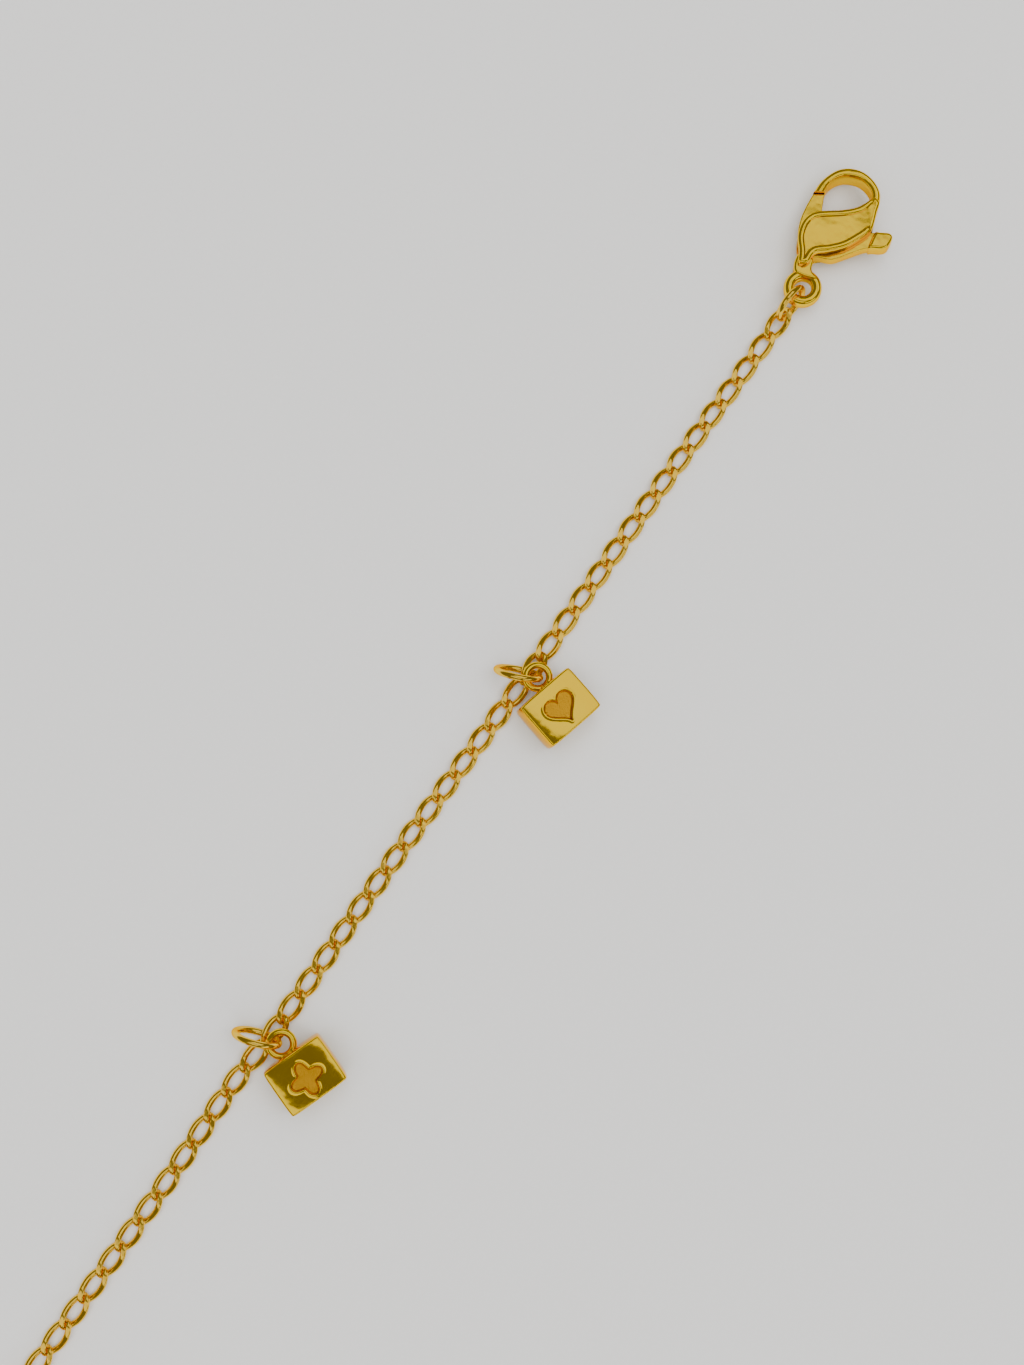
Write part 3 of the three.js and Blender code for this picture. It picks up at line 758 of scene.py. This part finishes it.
def inward(line, distance):
    """The closed line moved inwards, to its left."""
    before = line - np.roll(line, 1, 0)
    after = np.roll(line, -1, 0) - line
    before /= np.linalg.norm(before, axis=1, keepdims=True)
    after /= np.linalg.norm(after, axis=1, keepdims=True)
    left_before = np.stack((-before[:, 1], before[:, 0]), 1)
    left_after = np.stack((-after[:, 1], after[:, 0]), 1)
    middle = left_before + left_after
    middle /= np.maximum(np.linalg.norm(middle, axis=1, keepdims=True), 1e-9)
    stretch = np.clip(1 / np.maximum((middle * left_after).sum(1), 0.1), 1, 1.6)
    moved = line + middle * stretch[:, None] * distance
    # Points that a tight corner throws too near the line are laid between their sound neighbours
    sound = depth_inside(moved, line) > 0.96 * distance
    index = np.arange(len(line))
    if sound.all() or not sound.any():
        return moved
    return np.stack([np.interp(index, index[sound], moved[sound, k], period=len(line)) for k in (0, 1)], 1)


def rounded_plate(line, bottom, top, edge_bottom, edge_top, steps=7):
    """Plate of a closed outline, with rounded lower and upper edges, as vertices and faces."""
    area = (line[:, 0] * np.roll(line[:, 1], -1) - np.roll(line[:, 0], -1) * line[:, 1]).sum()
    if area < 0:
        line = line[::-1]
    rows = []
    if edge_bottom > 0:
        rows.append((EDGE_LAND * edge_bottom, bottom))
        rows += [
            (edge_bottom * (1 - math.sin(a)), bottom + edge_bottom * (1 - math.cos(a)))
            for a in np.linspace(0, math.pi / 2, steps)
        ]
    else:
        rows.append((0, bottom))
    if edge_top > 0:
        rows += [
            (edge_top * (1 - math.cos(a)), top - edge_top * (1 - math.sin(a)))
            for a in np.linspace(0, math.pi / 2, steps)
        ]
        rows.append((EDGE_LAND * edge_top, top))
    else:
        rows.append((0, top))
    count = len(line)
    p = []
    for inset, z in rows:
        ring = inward(line, inset) if inset else line
        p += [(x, y, z) for x, y in ring]
    faces = [tuple(reversed(range(count))), tuple(range((len(rows) - 1) * count, len(rows) * count))]
    for r in range(len(rows) - 1):
        for i in range(count):
            i1 = (i + 1) % count
            faces.append((r * count + i, r * count + i1, (r + 1) * count + i1, (r + 1) * count + i))
    return np.array(p), faces


def cut(piece, shell):
    """Cuts a shell out of a piece."""
    combine(piece, mesh_object("tool", [shell], list(piece.data.materials), 40), "DIFFERENCE", "EXACT")


def round_bar(centre, diameter, bottom, top, edge_bottom=0, edge_top=0, sides=48):
    a = np.linspace(0, 2 * np.pi, sides, endpoint=False)
    line = centre + diameter / 2 * np.stack((np.cos(a), np.sin(a)), 1)
    return rounded_plate(line, bottom, top, edge_bottom, edge_top)


def capped_tube_faces(stations, sides):
    """Faces of a tube along an open line, with a flat cap at each end."""
    faces = []
    for i in range(stations - 1):
        for j in range(sides):
            j1 = (j + 1) % sides
            faces.append((i * sides + j, i * sides + j1, (i + 1) * sides + j1, (i + 1) * sides + j))
    return faces + [tuple(range(sides)), tuple(range((stations - 1) * sides, stations * sides))]


def swept_bead(line, z, width, height, sides=16):
    """A half-sunk bead along an open line, tapered to nothing at its ends."""
    step = np.gradient(line, axis=0)
    step /= np.linalg.norm(step, axis=1, keepdims=True)
    left = np.stack((-step[:, 1], step[:, 0]), 1)
    t = np.linspace(0, 1, len(line))
    taper = np.clip(np.minimum(t, 1 - t) / RIM_TAPER, 0.02, 1) ** 0.5
    p = []
    for at, side, size in zip(line, left, taper):
        for a in np.linspace(0, 2 * np.pi, sides, endpoint=False):
            xy = at + side * math.cos(a) * width / 2 * size
            p.append((xy[0], xy[1], z + math.sin(a) * height * size))
    return np.array(p), capped_tube_faces(len(line), sides)


def evenly(line, count):
    """The open line with its points the same distance apart."""
    run = np.concatenate(((0,), np.cumsum(np.linalg.norm(np.diff(line, axis=0), axis=1))))
    at = np.linspace(0, run[-1], count)
    return np.stack([np.interp(at, run, line[:, axis]) for axis in (0, 1)], 1)


def swept_band(outer, inner, depth, sides=36, fullness=3.4):
    """A band between two lines, its section a rectangle with full, round corners."""
    b = np.linspace(0, 2 * np.pi, sides, endpoint=False)
    across = np.sign(np.cos(b)) * np.abs(np.cos(b)) ** (2 / fullness)
    up = np.sign(np.sin(b)) * np.abs(np.sin(b)) ** (2 / fullness)
    middle = (outer + inner) / 2
    half = (outer - inner) / 2
    p = np.zeros((len(outer), sides, 3))
    p[..., :2] = middle[:, None] + half[:, None] * across[None, :, None]
    p[..., 2] = up[None] * depth / 2
    return p.reshape(-1, 3), capped_tube_faces(len(outer), sides)


def turned_eye(outer, inner, depth, stations=72, sides=28):
    """The tail eye: a flat ring with full, round edges."""
    b = np.linspace(0, 2 * np.pi, sides, endpoint=False)[None]
    a = np.linspace(0, 2 * np.pi, stations, endpoint=False)[:, None]
    c = np.sign(np.cos(b)) * np.abs(np.cos(b)) ** 0.8
    s = np.sign(np.sin(b)) * np.abs(np.sin(b)) ** 0.8
    reach = (outer + inner) / 2 + (outer - inner) / 2 * c
    p = np.stack((reach * np.cos(a), reach * np.sin(a), depth / 2 * s + 0 * a), -1).reshape(-1, 3)
    return p, tube_ring(1, 1, stations, sides)[1]


GOLD_CAST = gold(
    "gold-plated casting",
    bright=(1.0, 0.7, 0.03),
    deep=(0.94, 0.59, 0.01),
    roughness=0.12,
    clouding=0.1,
    hairlines=0.08,
    cloud_size=3.0,
    bump=0.07,
)

plate_line = eased(PLATE_OUTLINE, True)
plates = mesh_object(
    "clasp_plates",
    [rounded_plate(plate_line, -PLATE_DEPTH / 2, PLATE_DEPTH / 2, PLATE_EDGE, PLATE_EDGE)],
    [GOLD_CAST],
    35,
)
cut(plates, rounded_plate(SLOT_OUTLINE, -SLOT_DEPTH / 2, SLOT_DEPTH / 2, 0, 0))
cut(plates, round_bar(PIVOT, PIN_DIAMETER + 2 * CLEARANCE, -PLATE_DEPTH, PIN_TOP))
hook_outer = evenly(eased(HOOK_OUTER, False), HOOK_STATIONS)
hook_inner = evenly(eased(HOOK_INNER, False)[::-1], HOOK_STATIONS)
hook = swept_band(hook_outer, hook_inner, HOOK_DEPTH)
neck_line = eased(NECK_OUTLINE, True)
neck_line[:, 0] = np.minimum(neck_line[:, 0], NECK_END)
neck = rounded_plate(neck_line, -NECK_DEPTH / 2, NECK_DEPTH / 2, NECK_EDGE, NECK_EDGE)
tail = turned_eye(TAIL_EYE, TAIL_HOLE, TAIL_DEPTH)
rim_line = np.roll(inward(plate_line, RIM_WIDTH / 2), -RIM_FIRST * EASED_STEPS, 0)
rim_line = rim_line[: RIM_SPANS * EASED_STEPS]
front_bead = swept_bead(rim_line, PLATE_DEPTH / 2, RIM_WIDTH, RIM_HEIGHT)
back_bead = swept_bead(rim_line, -PLATE_DEPTH / 2, RIM_WIDTH, BACK_RIM_HEIGHT)
join_on(plates, [hook, neck, tail, front_bead, back_bead], 35)
plates.data.transform(CLASP_PLACE)
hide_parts("clasp_body")
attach(plates, "bracelet")

lever_line = eased(LEVER_OUTLINE, False)
arm_half = SLOT_DEPTH / 2 - CLEARANCE
arm = rounded_plate(lever_line, -arm_half, arm_half, ARM_EDGE, ARM_EDGE)
lever = mesh_object("clasp_gate", [arm], [GOLD_CAST], 35)
cut(lever, round_bar(PIVOT, PIN_DIAMETER + 2 * CLEARANCE, -PLATE_DEPTH, PLATE_DEPTH))
tab = rounded_plate(eased(TAB_OUTLINE, True), -TAB_DEPTH / 2, TAB_DEPTH / 2, TAB_EDGE, TAB_EDGE)
join_on(lever, [tab], 35)
lever.data.transform(CLASP_PLACE)
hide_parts("clasp_lever")
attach(lever, "lever")

pin_back = -PLATE_DEPTH / 2 + CLEARANCE
pin_shell = round_bar(PIVOT, PIN_DIAMETER, pin_back, PIN_TOP - CLEARANCE, PIN_BACK_EDGE, PIN_TOP_EDGE)
pin = mesh_object("clasp_rivet", [pin_shell], [GOLD_CAST], 35, CLASP_PLACE)
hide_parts("clasp_pin")
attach(pin, "bracelet")

# Table and light. A plain pale matt table under three softboxes, with a low strip light and a wide fill that
# the metal doesn't mirror, and the camera at the photograph's angle, about 155 mm above the table.
TABLE_COLOUR = (0.8, 0.79, 0.77)
TABLE_MOTTLE = 0.96
TABLE_HALF = 2
TABLE_LEVEL = -1e-5
table_mesh = bpy.data.meshes.new("table")
corners = [(x * TABLE_HALF, y * TABLE_HALF, TABLE_LEVEL) for x, y in ((-1, -1), (1, -1), (1, 1), (-1, 1))]
table_mesh.from_pydata(corners, [], [(0, 1, 2, 3)])
table = bpy.data.objects.new("table", table_mesh)
bpy.context.scene.collection.objects.link(table)
paper = bpy.data.materials.new("pale matt card")
paper.use_nodes = True
shader = paper.node_tree.nodes["Principled BSDF"]
shader.inputs["Roughness"].default_value = 0.75
place = paper.node_tree.nodes.new("ShaderNodeTexCoord").outputs["Object"]
fibre = add_node(paper.node_tree, "ShaderNodeTexNoise", {"Vector": place, "Scale": 3 / MM, "Detail": 4.0})
mottle = add_node(paper.node_tree, "ShaderNodeMix", {0: fibre.outputs[0]}, data_type="RGBA")
mottle.inputs[6].default_value = (*(TABLE_MOTTLE * c for c in TABLE_COLOUR), 1)
mottle.inputs[7].default_value = (*TABLE_COLOUR, 1)
paper.node_tree.links.new(mottle.outputs[2], shader.inputs["Base Color"])
grain = add_node(paper.node_tree, "ShaderNodeBump", {"Height": fibre.outputs[0], "Distance": 0.01 * MM})
paper.node_tree.links.new(grain.outputs[0], shader.inputs["Normal"])
table_mesh.materials.append(paper)
table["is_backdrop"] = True


def soft_light(name, place, target, width, depth, watts):
    light = bpy.data.lights.new(name, "AREA")
    light.shape = "RECTANGLE"
    light.size = width
    light.size_y = depth
    light.energy = watts
    lamp = bpy.data.objects.new(name, light)
    lamp.location = place
    lamp.rotation_euler = (Vector(target) - Vector(place)).to_track_quat("-Z", "Y").to_euler()
    bpy.context.scene.collection.objects.link(lamp)
    return lamp


soft_light("overhead_softbox", (0.185, -0.02, 0.62), (0.185, -0.02, 0), 0.27, 0.6, 0.8)
soft_light("window_softbox", (0.48, -0.02, 0.62), (0.48, -0.02, 0), 0.26, 0.6, 0.9)
soft_light("side_softbox", (-0.3, 0.0, 0.6), (-0.3, 0, 0), 0.36, 0.6, 1.1)
soft_light("strip_light", (-0.1, -0.5, 0.3), (0, 0, 0), 0.5, 0.12, 0.7)
fill = soft_light("table_fill", (0, 0, 1.2), (0, 0, 0), 1.2, 1.2, 22.0)
fill.visible_glossy = False
# The metal sees a dim warm room, and the table a pale bright one
ROOM_ROUND_TABLE = (1.0, 1.0, 1.0, 1)
ROOM_IN_METAL = (0.3, 0.27, 0.23, 1)
world = bpy.data.worlds.new("studio")
world.use_nodes = True
ray = world.node_tree.nodes.new("ShaderNodeLightPath")
room = add_node(world.node_tree, "ShaderNodeMix", {0: ray.outputs["Is Glossy Ray"]}, data_type="RGBA")
room.inputs[6].default_value = ROOM_ROUND_TABLE
room.inputs[7].default_value = ROOM_IN_METAL
world.node_tree.links.new(room.outputs[2], world.node_tree.nodes["Background"].inputs[0])
bpy.context.scene.world = world

LENS_LENGTH = 53.8
CAMERA_FORWARD = (0.12878, -0.02435, -0.99137)
CAMERA_UP = (0.80786, 0.58237, 0.09063)
CAMERA_FROM_FIRST_LINK = (-0.05552, 0.00446)
CAMERA_HEIGHT = 0.1555
lens = bpy.data.cameras.new("camera")
lens.sensor_fit = "AUTO"
lens.sensor_width = 36
lens.lens = LENS_LENGTH
lens.clip_start = 0.001
lens.clip_end = 10
camera = bpy.data.objects.new("camera", lens)
forward = Vector(CAMERA_FORWARD).normalized()
right = forward.cross(Vector(CAMERA_UP)).normalized()
upward = right.cross(forward)
away_x, away_y = CAMERA_FROM_FIRST_LINK
spot = Vector((FIRST_X + away_x, FIRST_Y + away_y, CAMERA_HEIGHT))
camera.matrix_world = Matrix(
    (
        (right.x, upward.x, -forward.x, spot.x),
        (right.y, upward.y, -forward.y, spot.y),
        (right.z, upward.z, -forward.z, spot.z),
        (0, 0, 0, 1),
    )
)
bpy.context.scene.collection.objects.link(camera)
bpy.context.scene.camera = camera
bpy.context.scene.view_settings.look = "AgX - Punchy"

low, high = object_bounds()
